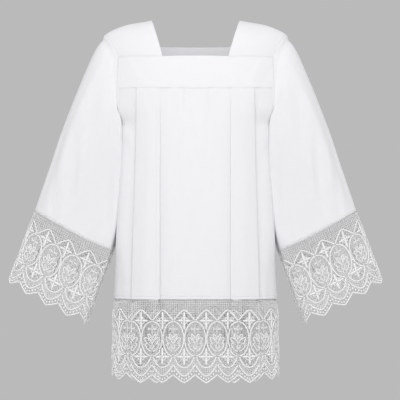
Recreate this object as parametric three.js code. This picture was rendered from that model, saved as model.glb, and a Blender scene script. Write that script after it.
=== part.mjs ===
// A surplice: a square-necked white vestment with a yoke, pleated body, wide straight sleeves and
// deep lace at the hem and cuffs. Millimetres, +Z up, +X to the wearer's left, the front towards -Y.
// The origin is midway between the shoulder straps, at the height where their necks bear.

import * as THREE from "three";

// Cloth
const WALL = 1.2;
const SEAM_GAP = 0.3;

// Levels down from the top of the shoulders
const YOKE_TOP_FRONT = { neck: -118.5, armhole: -110.5 };
const YOKE_TOP_BACK = { neck: -44, armhole: -112 };
const YOKE_BOTTOM = -203.6;
const YOKE_BOTTOM_RISE = 11;
const UNDERARM = -290;
const CREASE_END = -466;
const HEM = -708;

// Neck opening, a square that widens towards the shoulders
const NECK_HALF_WIDTH_FRONT = 80;
const NECK_HALF_WIDTH_BACK = 98;
const NECK_SHOULDER_HALF_WIDTH = 113.5;

// Armhole
const ARMHOLE_HALF_WIDTH = 193;
const SHOULDER_HALF_WIDTH = 234;
const ARMHOLE_HALF_DEPTH = 64;

// How the chest and the upper back slope in above the yoke's lower seam, and how the straps turn
// over the shoulders
const CHEST_SLOPE = 0.12;
const CHEST_SLOPE_POWER = 1.5;
const SHOULDER_POWER = 1.85;
const SHOULDER_SPREAD = 257;

// Body sections: half width at the side seams, depth of the front and of the back
const SECTION_POWER = 2.2;
const BODY_SECTIONS = [
  { z: 0, halfWidth: 234, front: 100, back: 94 },
  { z: -118, halfWidth: 234, front: 103, back: 98 },
  { z: -204, halfWidth: 231, front: 105, back: 101 },
  { z: -250, halfWidth: 213, front: 107, back: 103 },
  { z: -290, halfWidth: 187, front: 109, back: 105 },
  { z: -385, halfWidth: 184, front: 112, back: 108 },
  { z: -466, halfWidth: 189, front: 116, back: 112 },
  { z: -592, halfWidth: 198, front: 122, back: 118 },
  { z: -708, halfWidth: 202, front: 126, back: 122 },
  { z: -900, halfWidth: 203, front: 129, back: 125 },
];

// Shoulder line, from the neck out to the armhole
const SHOULDER_LINE = [
  { x: 113.5, z: 0 },
  { x: 150, z: -7 },
  { x: 186, z: -14 },
  { x: 219, z: -27 },
  { x: 234, z: -37 },
];

// Box pleats beside the centre strip, as distances round the section from the centre
const STRIP_EDGE = 29;
const CREASE = 33;
const CREASE_HEIGHT = 3;
const PLEAT_INNER = { top: 87, hem: 83.5 };
const PLEAT_OUTER = { top: 143, hem: 146.5 };
const INNER_UNDERLAP = 20.7;
const OUTER_UNDERLAP = 25.5;
const LAYER_STEP = { top: 2.8, hem: 4.5 };
const SIDE_VALLEY = 1.2;

// Sleeve rings: the upper edge, the underarm edge and half the depth, from armhole to cuff
const SLEEVE_RINGS = [
  { upperX: 234, upperZ: -37, underX: 189.4, underZ: -290, halfDepth: 64 },
  { upperX: 259, upperZ: -81, underX: 190, underZ: -330, halfDepth: 65 },
  { upperX: 292, upperZ: -161, underX: 188.5, underZ: -385, halfDepth: 62 },
  { upperX: 317, upperZ: -228, underX: 190.5, underZ: -425, halfDepth: 58 },
  { upperX: 341.5, upperZ: -297, underX: 193, underZ: -466, halfDepth: 55 },
  { upperX: 366, upperZ: -376, underX: 196.5, underZ: -520, halfDepth: 52 },
  { upperX: 394, upperZ: -463, underX: 206, underZ: -570, halfDepth: 50 },
  { upperX: 401.5, upperZ: -488, underX: 213.5, underZ: -592, halfDepth: 50 },
];
const ARMHOLE_BLEND = 0.45;
const CUFF_DIRECTION = { x: 0.331, z: -0.944 };

// Long soft folds that hang in a sleeve: where round it they lie, how wide and how deep
const SLEEVE_FOLDS = [
  { around: 0.14, width: 0.035, depth: 5 },
  { around: 0.27, width: 0.03, depth: -4 },
  { around: 0.37, width: 0.035, depth: 5 },
  { around: 0.62, width: 0.035, depth: 5 },
  { around: 0.74, width: 0.03, depth: -4 },
  { around: 0.86, width: 0.035, depth: 5 },
];

// Lace: one repeat has a cross near its top, a cross near its edge and a pointed scallop
const HEM_REPEAT = 50.4;
const CUFF_REPEATS = 10;
const LACE_TIP = 189;
const LACE_NOTCH = 171;
const SCALLOP_POWER = 1.2;
const UPPER_CROSS = 48;
const CROSS_BAR = 2.1;
const CROSS_GAP = 4.7;
const LOWER_GAP = { from: 96.5, to: 105.5 };

const CLOTH = { color: 0xf1f1f4, roughness: 0.85, metalness: 0 };
const LACE = { color: 0xe9e9e6, roughness: 0.9, metalness: 0 };

const mix = THREE.MathUtils.lerp;

// ---------------------------------------------------------------- tables and curves

// The row of a table at a place between two rows, every named column mixed.
function rowAt(rows, key, place) {
  const rising = rows[rows.length - 1][key] > rows[0][key];
  const past = rows.findIndex((row) => (rising ? row[key] >= place : row[key] <= place));
  const next = past < 0 ? rows.length - 1 : Math.max(past, 1);
  const from = rows[next - 1];
  const to = rows[next];
  const share = THREE.MathUtils.clamp((place - from[key]) / (to[key] - from[key]), 0, 1);
  const names = Object.keys(from);
  return Object.fromEntries(names.map((name) => [name, mix(from[name], to[name], share)]));
}

// The height of the shoulder line over a place across it.
function shoulderHeight(x) {
  return rowAt(SHOULDER_LINE, "x", x).z;
}

// How deep the section is at x, as a share of its depth at the centre.
function depthShare(x, halfWidth) {
  const across = Math.min(Math.abs(x) / halfWidth, 1);
  return Math.pow(1 - Math.pow(across, SECTION_POWER), 1 / SECTION_POWER);
}

// A quarter of the body's section at one height, from the centre to the side seam.
const ARC_STEPS = 240;
const arcs = new Map();
function sectionArc(z, face) {
  const key = face + z.toFixed(3);
  if (arcs.has(key)) return arcs.get(key);
  const row = rowAt(BODY_SECTIONS, "z", z);
  const depth = face < 0 ? row.front : row.back;
  const points = [];
  let length = 0;
  for (let i = 0; i <= ARC_STEPS; i++) {
    const angle = (i / ARC_STEPS) * (Math.PI / 2);
    const x = row.halfWidth * Math.pow(Math.sin(angle), 2 / SECTION_POWER);
    const y = depth * Math.pow(Math.cos(angle), 2 / SECTION_POWER);
    if (i > 0) length += Math.hypot(x - points[i - 1].x, y - points[i - 1].y);
    points.push({ length, x, y });
  }
  const arc = { points, length, halfWidth: row.halfWidth, depth };
  arcs.set(key, arc);
  return arc;
}

// The length round the section at which it has come in to a given depth.
function arcToDepth(arc, depth) {
  const at = rowAt(arc.points, "y", depth);
  return at.length;
}

// A point a distance round the section and a height outside it.
function sectionPoint(arc, along, outward, face, z) {
  const distance = Math.abs(along);
  const { x, y } = rowAt(arc.points, "length", distance);
  const past = Math.max(distance - arc.length, 0);
  const nx = Math.pow(x / arc.halfWidth, SECTION_POWER - 1) / arc.halfWidth;
  const ny = Math.pow(y / arc.depth, SECTION_POWER - 1) / arc.depth;
  const size = Math.hypot(nx, ny);
  const px = x + (nx / size) * outward;
  const py = y + (ny / size) * outward - past;
  return new THREE.Vector3(Math.sign(along) * px, face * py, z);
}

// ---------------------------------------------------------------- cloth walls

const PROBE = 0.02;

// The direction square to a surface, from points close by on it.
function surfaceNormal(surface, u, v, probe) {
  const across = surface(u + probe.u, v).sub(surface(u - probe.u, v));
  const down = surface(u, v + probe.v).sub(surface(u, v - probe.v));
  return across.cross(down).normalize();
}

// Triangles between two neighbouring columns of points, which may have different rows.
function zipColumns(left, right, isGap, triangles) {
  let i = 0;
  let j = 0;
  while (i < left.rows.length - 1 || j < right.rows.length - 1) {
    const nextLeft = i < left.rows.length - 1 ? left.rows[i + 1] : Infinity;
    const nextRight = j < right.rows.length - 1 ? right.rows[j + 1] : Infinity;
    const a = left.start + i;
    const b = right.start + j;
    const lastCell = i === left.rows.length - 2 && j === right.rows.length - 2;
    if (lastCell || Math.abs(nextLeft - nextRight) < 1e-6) {
      const middle = (left.rows[i] + nextLeft) / 2;
      if (!isGap((left.u + right.u) / 2, middle)) triangles.push([a, a + 1, b + 1], [a, b + 1, b]);
      i++;
      j++;
    } else if (nextLeft < nextRight) {
      triangles.push([a, a + 1, b]);
      i++;
    } else {
      triangles.push([a, b + 1, b]);
      j++;
    }
  }
}

// The rim edges of a set of triangles, each as its face runs along it.
function rimEdges(triangles) {
  const edges = new Map();
  for (const [a, b, c] of triangles)
    for (const [from, to] of [[a, b], [b, c], [c, a]]) {
      if (!edges.delete(to + "," + from)) edges.set(from + "," + to, [from, to]);
    }
  return edges.values();
}

// A closed solid of even thickness round a sheet of triangles.
function thicken(points, normals, triangles) {
  const count = points.length;
  const positions = [];
  for (const half of [WALL / 2, -WALL / 2])
    for (let i = 0; i < count; i++) {
      positions.push(...points[i].clone().addScaledVector(normals[i], half).toArray());
    }
  const faces = [];
  for (const [a, b, c] of triangles) faces.push([a, b, c], [count + a, count + c, count + b]);
  for (const [a, b] of rimEdges(triangles)) faces.push([b, a, count + a], [b, count + a, count + b]);
  const geometry = new THREE.BufferGeometry();
  geometry.setAttribute("position", new THREE.Float32BufferAttribute(positions, 3));
  geometry.setIndex(faces.flat());
  if (signedVolume(positions, faces) < 0) geometry.setIndex(faces.map((f) => f.reverse()).flat());
  geometry.computeVertexNormals();
  return geometry;
}

function signedVolume(positions, faces) {
  const at = (i) => new THREE.Vector3().fromArray(positions, 3 * i);
  return faces.reduce((sum, [a, b, c]) => sum + at(a).dot(at(b).cross(at(c))), 0);
}

// The wall over a surface(u, v). Columns of points lie across u, each with its rows of v.
function clothWall(surface, columns, { isGap = () => false, probe } = {}) {
  const step = probe || { u: PROBE, v: PROBE };
  const points = [];
  const normals = [];
  const placed = columns.map(({ u, rows }) => {
    const start = points.length;
    for (const v of rows) {
      points.push(surface(u, v));
      normals.push(surfaceNormal(surface, u, v, step));
    }
    return { u, rows, start };
  });
  const triangles = [];
  for (let i = 1; i < placed.length; i++) zipColumns(placed[i - 1], placed[i], isGap, triangles);
  return thicken(points, normals, triangles);
}

// Even columns from one u to another, all with the same rows.
function evenColumns(from, to, count, rows) {
  return Array.from({ length: count + 1 }, (_, i) => ({ u: mix(from, to, i / count), rows }));
}

function evenRows(from, to, count) {
  return Array.from({ length: count + 1 }, (_, i) => mix(from, to, i / count));
}

// ---------------------------------------------------------------- body panels

// How far down the body a height is, from the yoke seam to the hem.
function downBody(z) {
  return THREE.MathUtils.clamp((z - YOKE_BOTTOM) / (HEM - YOKE_BOTTOM), 0, 1);
}

// The armhole's half depth at a height below the yoke, a quarter round into the underarm.
function armholeDepth(z) {
  const down = THREE.MathUtils.clamp((z - YOKE_BOTTOM) / (UNDERARM - YOKE_BOTTOM), 0, 1);
  return ARMHOLE_HALF_DEPTH * Math.sqrt(1 - down * down);
}

// Where half the cloth's pleated path turns at one height: distance round, and layers outside.
function pleatPath(z, face) {
  const arc = sectionArc(z, face);
  const down = downBody(z);
  const inner = mix(PLEAT_INNER.top, PLEAT_INNER.hem, down);
  const outer = mix(PLEAT_OUTER.top, PLEAT_OUTER.hem, down);
  const round = mix(LAYER_STEP.top, LAYER_STEP.hem, down) / 2;
  const innerFold = inner + INNER_UNDERLAP;
  const outerFold = outer - OUTER_UNDERLAP;
  const valley = -SIDE_VALLEY * down;
  const creaseShare = (z - CREASE_END) / (YOKE_BOTTOM - CREASE_END);
  const crease = CREASE_HEIGHT * THREE.MathUtils.clamp(creaseShare, 0, 1);
  const end = arcToDepth(arc, armholeDepth(z)) - SEAM_GAP / 2;
  return [
    { along: 0, layer: 0 },
    { along: STRIP_EDGE, layer: 0 },
    { along: CREASE, layer: crease / round / 2 },
    { along: (CREASE + inner) / 2, layer: 0.15 },
    { along: inner, layer: 0 },
    { along: innerFold, layer: 0 },
    { along: innerFold + round, layer: 0.5 },
    { along: innerFold, layer: 1 },
    { along: inner, layer: 1 },
    { along: inner - round, layer: 1.5 },
    { along: inner, layer: 2 },
    { along: (inner + outer) / 2, layer: 2.5 },
    { along: outer, layer: 2 },
    { along: outer + round, layer: 1.5 },
    { along: outer, layer: 1 },
    { along: outerFold, layer: 1 },
    { along: outerFold - round, layer: 0.5 },
    { along: outerFold, layer: 0 },
    { along: outer, layer: valley },
    { along: mix(outer, end, 0.25), layer: valley / 2 },
    { along: mix(outer, end, 0.5), layer: 0 },
    { along: mix(outer, end, 0.7), layer: 0 },
    { along: mix(outer, end, 0.87), layer: 0 },
    { along: end, layer: 0 },
  ].map(({ along, layer }) => ({ along, outward: layer * round * 2 }));
}

// The unfolded distance from the centre to each turn of the path, as it lies at the hem.
function unfoldedTurns(face) {
  const path = pleatPath(HEM, face);
  const turns = [0];
  for (let i = 1; i < path.length; i++) {
    const along = path[i].along - path[i - 1].along;
    const outward = path[i].outward - path[i - 1].outward;
    turns.push(turns[i - 1] + Math.hypot(along, outward));
  }
  return turns;
}

const TURNS = { [-1]: unfoldedTurns(-1), [1]: unfoldedTurns(1) };

// The point of the pleated cloth at an unfolded distance from the centre, at a height.
function bodyPoint(u, z, face) {
  const turns = TURNS[face];
  const path = pleatPath(z, face);
  const distance = Math.abs(u);
  const past = turns.findIndex((turn) => turn >= distance);
  const next = past < 0 ? turns.length - 1 : Math.max(past, 1);
  const share = (distance - turns[next - 1]) / (turns[next] - turns[next - 1]);
  const along = mix(path[next - 1].along, path[next].along, share);
  const outward = mix(path[next - 1].outward, path[next].outward, share);
  return sectionPoint(sectionArc(z, face), Math.sign(u || 1) * along, outward, face, z);
}

// How much the yoke seam rises at x above its height at the centre.
function seamRise(x) {
  return YOKE_BOTTOM_RISE * Math.min(Math.pow(x / ARMHOLE_HALF_WIDTH, 2), 1);
}

const PANEL_ROWS = [0, 0.055, 0.115, 0.1714, 0.38, 0.68, 1];

function panel(face) {
  const top = YOKE_BOTTOM - SEAM_GAP;
  const surface = (u, v) => {
    const point = bodyPoint(u, mix(YOKE_BOTTOM, HEM, v), face);
    point.z = mix(top + seamRise(point.x), HEM, v);
    return point;
  };
  const turns = TURNS[face];
  const columns = [...turns.slice(1).map((turn) => -turn).reverse(), ...turns];
  const probe = { u: PROBE, v: 1e-4 };
  return clothWall(surface, columns.map((u) => ({ u, rows: PANEL_ROWS })), { probe });
}

// ---------------------------------------------------------------- yokes and shoulder straps

const YOKE_LAYER = 1;
const YOKE_ROWS = [0, 0.33, 0.67, 1];
const YOKE_NECK_COLUMNS = 6;
const YOKE_SIDE_COLUMNS = 6;

function neckHalfWidth(face) {
  return face < 0 ? NECK_HALF_WIDTH_FRONT : NECK_HALF_WIDTH_BACK;
}

// The height of the yoke's top edge at x. The back one falls from the neck to the armhole.
function yokeTop(x, face) {
  const { neck, armhole } = face < 0 ? YOKE_TOP_FRONT : YOKE_TOP_BACK;
  const width = ARMHOLE_HALF_WIDTH - neckHalfWidth(face);
  const share = (Math.abs(x) - neckHalfWidth(face)) / width;
  return mix(neck, armhole, THREE.MathUtils.clamp(share, 0, 1));
}

// How far the chest or back has sloped in at a height, as a share of its depth at the seam.
function chestShare(z) {
  const up = Math.max((z - YOKE_BOTTOM) / (YOKE_TOP_FRONT.neck - YOKE_BOTTOM), 0);
  return 1 - CHEST_SLOPE * Math.pow(up, CHEST_SLOPE_POWER);
}

function yoke(face) {
  const arc = sectionArc(YOKE_BOTTOM, face);
  const end = arcToDepth(arc, ARMHOLE_HALF_DEPTH) - SEAM_GAP / 2;
  const neck = rowAt(arc.points, "x", neckHalfWidth(face)).length;
  const surface = (u, v) => {
    const point = sectionPoint(arc, u || 1e-9, YOKE_LAYER, face, 0);
    point.z = mix(yokeTop(point.x, face), YOKE_BOTTOM + seamRise(point.x), v);
    point.y *= chestShare(point.z);
    return point;
  };
  const columns = [
    ...evenColumns(-end, -neck, YOKE_SIDE_COLUMNS, YOKE_ROWS),
    ...evenColumns(-neck, neck, YOKE_NECK_COLUMNS, YOKE_ROWS).slice(1, -1),
    ...evenColumns(neck, end, YOKE_SIDE_COLUMNS, YOKE_ROWS),
  ];
  return clothWall(surface, columns, { probe: { u: PROBE, v: 1e-3 } });
}

// A place on a shoulder strap: turn is 0 at the front yoke, 1 on the shoulder line and 2 at the
// back yoke, and across is 0 at the neck and 1 at the armhole.
function strapPoint(across, turn, side) {
  const face = turn < 1 ? -1 : 1;
  const angle = (Math.PI / 2) * Math.max(1 - Math.abs(turn - 1), 0);
  const arc = sectionArc(YOKE_BOTTOM, face);
  const up = Math.pow(Math.sin(angle), 2 / SHOULDER_POWER);
  const out = Math.pow(Math.cos(angle), 2 / SHOULDER_POWER);
  const neck = mix(neckHalfWidth(face), NECK_SHOULDER_HALF_WIDTH, up);
  const arm = mix(ARMHOLE_HALF_WIDTH, SHOULDER_HALF_WIDTH - SEAM_GAP, up);
  const x = mix(neck, arm, across);
  const seam = yokeTop(x, face) + SEAM_GAP;
  const halfWidth = mix(arc.halfWidth + YOKE_LAYER, SHOULDER_SPREAD, up);
  const depth = (arc.depth + YOKE_LAYER) * depthShare(x, halfWidth);
  const z = mix(seam, shoulderHeight(x), up);
  return new THREE.Vector3(side * x, face * depth * chestShare(seam) * out, z);
}

const STRAP_COLUMNS = 7;
const STRAP_ROWS = 12;

function shoulderStrap(side) {
  const surface = (u, v) => strapPoint(u, v, side);
  const columns = evenColumns(0, 1, STRAP_COLUMNS, evenRows(0, 2, STRAP_ROWS));
  return clothWall(surface, columns, { probe: { u: 1e-3, v: 1e-4 } });
}

// ---------------------------------------------------------------- sleeves

// Half the armhole's edge on the body, from the shoulder line down to the underarm.
function armholeEdge(face) {
  const edge = [];
  const strapSteps = 16;
  for (let i = 0; i <= strapSteps; i++) {
    const turn = face < 0 ? 1 - i / strapSteps : 1 + i / strapSteps;
    const point = strapPoint(1, turn, 1);
    edge.push(new THREE.Vector3(point.x, face * Math.abs(point.y), point.z));
  }
  const arc = sectionArc(YOKE_BOTTOM, face);
  const yokeEnd = sectionPoint(arc, arcToDepth(arc, ARMHOLE_HALF_DEPTH), YOKE_LAYER, face, 0);
  const yokeBottom = YOKE_BOTTOM + YOKE_BOTTOM_RISE;
  edge.push(new THREE.Vector3(yokeEnd.x, yokeEnd.y, yokeBottom));
  const panelSteps = 12;
  for (let i = 1; i <= panelSteps; i++) {
    const down = Math.sin((i / panelSteps) * (Math.PI / 2));
    const z = mix(YOKE_BOTTOM, UNDERARM, down);
    const section = sectionArc(z, face);
    const point = sectionPoint(section, arcToDepth(section, armholeDepth(z)), 0, face, z);
    point.z = mix(yokeBottom, UNDERARM, down);
    edge.push(point);
  }
  return edge;
}

// A polyline's point at a share of its length.
function alongPolyline(points, share) {
  const lengths = [0];
  for (let i = 1; i < points.length; i++) {
    lengths.push(lengths[i - 1] + points[i].distanceTo(points[i - 1]));
  }
  const target = share * lengths[lengths.length - 1];
  const next = Math.max(lengths.findIndex((length) => length >= target), 1);
  const part = (target - lengths[next - 1]) / (lengths[next] - lengths[next - 1]);
  return points[next - 1].clone().lerp(points[next], part);
}

const ARMHOLE = { [-1]: armholeEdge(-1), [1]: armholeEdge(1) };
const SLEEVE_POWER = 2.2;

// A point of a sleeve ring: around is 0 and 1 at its upper edge and 0.5 at the underarm.
function ringPoint(ring, around) {
  const angle = around * 2 * Math.PI;
  const cos = Math.cos(angle);
  const sin = Math.sin(angle);
  const reach = Math.sign(cos) * Math.pow(Math.abs(cos), 2 / SLEEVE_POWER);
  const depth = Math.sign(sin) * Math.pow(Math.abs(sin), 2 / SLEEVE_POWER);
  return new THREE.Vector3(
    mix(ring.underX, ring.upperX, (1 + reach) / 2),
    -ring.halfDepth * depth,
    mix(ring.underZ, ring.upperZ, (1 + reach) / 2),
  );
}

const RINGS = SLEEVE_RINGS.map((ring, i) => ({ place: i / (SLEEVE_RINGS.length - 1), ...ring }));

// How far the folds push the cloth out at a place round the sleeve and down it.
function sleeveFold(around, down) {
  const spread = Math.sin(Math.PI * down);
  return SLEEVE_FOLDS.reduce((sum, fold) => {
    const off = (around - fold.around) / fold.width;
    return sum + fold.depth * Math.exp(-off * off) * spread;
  }, 0);
}

// The sleeve's first ring is the armhole itself, just outside the body's cloth.
const ARMHOLE_CLEARANCE = WALL + SEAM_GAP;
function armholePoint(around) {
  const face = around <= 0.5 ? -1 : 1;
  const share = 1 - Math.abs(1 - 2 * around);
  const point = alongPolyline(ARMHOLE[face], share);
  point.x += ARMHOLE_CLEARANCE;
  return point;
}

function sleevePoint(around, down, side) {
  const wrapped = ((around % 1) + 1) % 1;
  const place = THREE.MathUtils.clamp(down, 0, 1);
  const point = ringPoint(rowAt(RINGS, "place", place), wrapped);
  const hold = Math.pow(Math.max(1 - place / ARMHOLE_BLEND, 0), 2);
  const toArmhole = armholePoint(wrapped).sub(ringPoint(RINGS[0], wrapped));
  point.addScaledVector(toArmhole, hold);
  point.y -= Math.sign(0.5 - wrapped) * sleeveFold(wrapped, place);
  point.x *= side;
  return point;
}

const SLEEVE_COLUMNS = 13;
const SLEEVE_ROWS = [0, 0.07, 1 / 7, 2 / 7, 3 / 7, 4 / 7, 5 / 7, 6 / 7, 1];
const SLEEVE_SEAM = 0.00035;

// Half a sleeve, between its upper edge and the underarm seam: face -1 is the front half.
function sleeve(side, face) {
  const surface = (u, v) => sleevePoint(u, v, side);
  const from = (face < 0 ? 0 : 0.5) + SLEEVE_SEAM;
  const to = from + 0.5 - 2 * SLEEVE_SEAM;
  const columns = evenColumns(from, to, SLEEVE_COLUMNS, SLEEVE_ROWS);
  return clothWall(surface, columns, { probe: { u: 1e-3, v: 1e-4 } });
}

// ---------------------------------------------------------------- lace

const LACE_ROWS = [
  0,
  UPPER_CROSS - CROSS_BAR - CROSS_GAP,
  UPPER_CROSS - CROSS_BAR,
  UPPER_CROSS + CROSS_BAR,
  UPPER_CROSS + CROSS_BAR + CROSS_GAP,
  LOWER_GAP.from,
  LOWER_GAP.to,
];

// The distance of u from the nearest cross, which stands halfway along each repeat.
function fromCross(u, repeat) {
  const place = ((u / repeat) % 1 + 1) % 1;
  return (place - 0.5) * repeat;
}

// The lace's lower edge: a point under each cross and a notch between.
function scallopDepth(u, repeat) {
  const share = Math.abs(fromCross(u, repeat)) / (repeat / 2);
  return mix(LACE_TIP, LACE_NOTCH, Math.pow(share, SCALLOP_POWER));
}

// The openings of one repeat: four round the upper cross and one between the ovals.
function isLaceGap(u, v, repeat) {
  const across = Math.abs(fromCross(u, repeat));
  const beside = across > CROSS_BAR && across < CROSS_BAR + CROSS_GAP;
  const up = Math.abs(v - UPPER_CROSS);
  if (beside && up > CROSS_BAR && up < CROSS_BAR + CROSS_GAP) return true;
  return across < CROSS_BAR && v > LOWER_GAP.from && v < LOWER_GAP.to;
}

// Columns for a stretch of lace, with full rows only beside the openings.
function laceColumns(from, to, repeat, turns) {
  const edges = [from, to, ...turns];
  const reach = CROSS_BAR + CROSS_GAP;
  const margin = 3;
  for (let k = Math.floor(from / repeat); k * repeat <= to; k++) {
    const cross = (k + 0.5) * repeat;
    edges.push(k * repeat);
    if (cross - reach > from + margin && cross + reach < to - margin)
      edges.push(cross - reach, cross - CROSS_BAR, cross + CROSS_BAR, cross + reach);
  }
  const kept = [];
  const closest = 0.8;
  for (const u of edges.filter((edge) => edge >= from && edge <= to).sort((a, b) => a - b)) {
    if (kept.length && u - kept[kept.length - 1] < closest) {
      if (u === to) kept[kept.length - 1] = to;
      continue;
    }
    kept.push(u);
  }
  return kept.map((u) => {
    const open = Math.abs(fromCross(u, repeat)) < reach + closest;
    const whole = open && u > from + margin && u < to - margin;
    return { u, rows: [...(whole ? LACE_ROWS : [0]), scallopDepth(u, repeat)] };
  });
}

// The lace at the hem. At the front a notch lies on the centre line, and at the back a cross.
function hemLace(face) {
  const turns = TURNS[face];
  const end = turns[turns.length - 1];
  const top = HEM - SEAM_GAP;
  const shift = face < 0 ? 0 : HEM_REPEAT / 2;
  const surface = (u, v) => bodyPoint(u - shift || 1e-9, top - v, face);
  const both = [...turns.map((turn) => -turn), ...turns.slice(1)].map((u) => u + shift);
  const columns = laceColumns(shift - end, shift + end, HEM_REPEAT, both);
  return clothWall(surface, columns, { isGap: (u, v) => isLaceGap(u, v, HEM_REPEAT) });
}

// Distances round the cuff, from its upper edge, against places round the ring.
const CUFF_STEPS = 240;
function cuffArc() {
  const ring = RINGS[RINGS.length - 1];
  const rows = [{ length: 0, around: 0 }];
  for (let i = 1; i <= CUFF_STEPS; i++) {
    const step = ringPoint(ring, i / CUFF_STEPS).distanceTo(ringPoint(ring, (i - 1) / CUFF_STEPS));
    rows.push({ length: rows[i - 1].length + step, around: i / CUFF_STEPS });
  }
  return rows;
}

const CUFF_ARC = cuffArc();
const CUFF_ROUND = CUFF_ARC[CUFF_STEPS].length;
const CUFF_REPEAT = CUFF_ROUND / CUFF_REPEATS;
const CUFF_COLUMNS = 12;

// Half the lace round a cuff: face -1 is the front half and 1 the back half.
function cuffLace(side, face) {
  const ring = RINGS[RINGS.length - 1];
  const surface = (u, v) => {
    const { around } = rowAt(CUFF_ARC, "length", u);
    const point = ringPoint(ring, around);
    point.x += CUFF_DIRECTION.x * (v + SEAM_GAP);
    point.z += CUFF_DIRECTION.z * (v + SEAM_GAP);
    point.x *= side;
    return point;
  };
  const from = face < 0 ? SEAM_GAP / 2 : CUFF_ROUND / 2 + SEAM_GAP / 2;
  const to = from + CUFF_ROUND / 2 - SEAM_GAP;
  const turns = evenRows(from, to, CUFF_COLUMNS);
  const columns = laceColumns(from, to, CUFF_REPEAT, turns);
  return clothWall(surface, columns, { isGap: (u, v) => isLaceGap(u, v, CUFF_REPEAT) });
}

// ---------------------------------------------------------------- the garment

const surplice = new THREE.Group();

function sew(name, geometry, finish) {
  const mesh = new THREE.Mesh(geometry, new THREE.MeshStandardMaterial(finish));
  mesh.name = name;
  surplice.add(mesh);
}

for (const [place, face] of [["front", -1], ["back", 1]]) {
  sew("yoke_" + place, yoke(face), CLOTH);
  sew(place + "_panel", panel(face), CLOTH);
  sew("hem_lace_" + place, hemLace(face), LACE);
}

for (const [hand, side] of [["left", 1], ["right", -1]]) {
  sew("shoulder_strap_" + hand, shoulderStrap(side), CLOTH);
  for (const [place, face] of [["front", -1], ["back", 1]]) {
    sew("sleeve_" + hand + "_" + place, sleeve(side, face), CLOTH);
    sew("cuff_lace_" + hand + "_" + place, cuffLace(side, face), LACE);
  }
}

export default surplice;
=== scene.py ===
"""A surplice, filled out as on a wearer: white cloth with box pleats, and deep lace at hem and cuffs.

Sizes are in millimetres, measured down from the shoulders, and become metres in mesh_object().
The floor, the lights and the camera are in metres.
"""
import math

import bpy
import numpy as np
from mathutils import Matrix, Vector


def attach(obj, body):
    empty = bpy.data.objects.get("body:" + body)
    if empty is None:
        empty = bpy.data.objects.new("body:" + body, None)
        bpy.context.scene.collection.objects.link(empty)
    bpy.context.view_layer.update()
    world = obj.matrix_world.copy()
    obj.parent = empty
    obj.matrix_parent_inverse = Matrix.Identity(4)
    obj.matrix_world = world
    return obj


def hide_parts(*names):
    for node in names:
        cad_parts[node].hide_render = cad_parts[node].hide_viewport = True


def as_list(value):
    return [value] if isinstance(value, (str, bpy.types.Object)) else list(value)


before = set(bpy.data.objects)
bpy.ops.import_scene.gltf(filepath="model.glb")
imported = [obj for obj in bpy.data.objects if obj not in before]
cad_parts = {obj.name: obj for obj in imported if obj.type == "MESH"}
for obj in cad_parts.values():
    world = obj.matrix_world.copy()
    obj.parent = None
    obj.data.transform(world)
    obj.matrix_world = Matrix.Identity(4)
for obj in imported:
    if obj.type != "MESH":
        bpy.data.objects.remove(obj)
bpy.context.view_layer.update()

MM = 0.001
FRONT, BACK = -1, 1
LEFT, RIGHT = 1, -1


def table(columns, rows):
    """Lines of numbers as one array for each named column."""
    values = np.array([line.split() for line in rows.strip().splitlines()], float)
    return dict(zip(columns.split(), values.T))


# -------- the garment's sizes

SEAM_GAP = 0.3
CLOTH_HALF = 0.4
HEM_HALF = 0.75
HEM_BAND = 10.0

YOKE_TOP_NECK = {FRONT: 118.5, BACK: 44.0}
YOKE_TOP_ARMHOLE = {FRONT: 110.5, BACK: 112.0}
YOKE_BOTTOM = 203.6
YOKE_BOTTOM_RISE = 11.0
UNDERARM = 290.0
CREASE_END = 466.0
HEM = 708.0

NECK_HALF_WIDTH = {FRONT: 80.0, BACK: 98.0}
NECK_SHOULDER_HALF_WIDTH = 113.5
ARMHOLE_HALF_WIDTH = 193.0
SHOULDER_HALF_WIDTH = 234.0
ARMHOLE_HALF_DEPTH = 64.0
CHEST_SLOPE = 0.12
CHEST_SLOPE_POWER = 1.5
SHOULDER_POWER = 1.85
SHOULDER_SPREAD = 257.0
SECTION_POWER = 2.2

BODY = table("down half_width front back", """
0 234 100 94
118 234 103 98
204 231 105 101
250 213 107 103
290 187 109 105
385 184 112 108
466 189 116 112
592 198 122 118
708 202 126 122
900 203 129 125
""")
SHOULDER_LINE = table("x down", """
113.5 0
150 7
186 14
219 27
234 37
""")

STRIP_EDGE = 29.0
CREASE = 33.0
CREASE_HEIGHT = 3.0
INNER_UNDERLAP = 20.7
OUTER_UNDERLAP = 25.5
PLEATS = table("down inner outer layer_step side_valley", """
203.6 87 143 0.7 0.3
235 86.8 143.2 2.0 7.0
300 86 144 3.0 12.0
420 85.5 144.5 3.6 14.0
708 83.5 146.5 4.5 16.0
900 83.5 146.5 4.5 8.0
""")

SLEEVE_RINGS = table("upper_x upper_down under_x under_down half_depth", """
234 37 189.4 290 64
259 81 190 330 65
292 161 188.5 385 62
317 228 190.5 425 58
341.5 297 193 466 55
366 376 196.5 520 52
394 463 206 570 50
401.5 488 213.5 592 50
""")
SLEEVE_POWER = 2.2
SLEEVE_INNER_POWER = 4.0
SLEEVE_LENGTH = 435.0
ARMHOLE_BLEND = 0.45
ARMHOLE_CLEARANCE = 0.25
CUFF_DIRECTION = np.array([0.331, 0.0, -0.944])

HEM_REPEAT = 50.4
CUFF_REPEATS = 10
LACE_DEPTH = 189.0

# -------- curves


def mix(a, b, share):
    return a + (b - a) * share


def smoothstep(share):
    share = np.clip(share, 0, 1)
    return share * share * (3 - 2 * share)


def hump(distance, width):
    """1 in the middle of a soft hump, and next to nothing two widths away."""
    return np.exp(-((distance / width) ** 2))


def join(*arrays):
    return np.concatenate(arrays)


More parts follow.
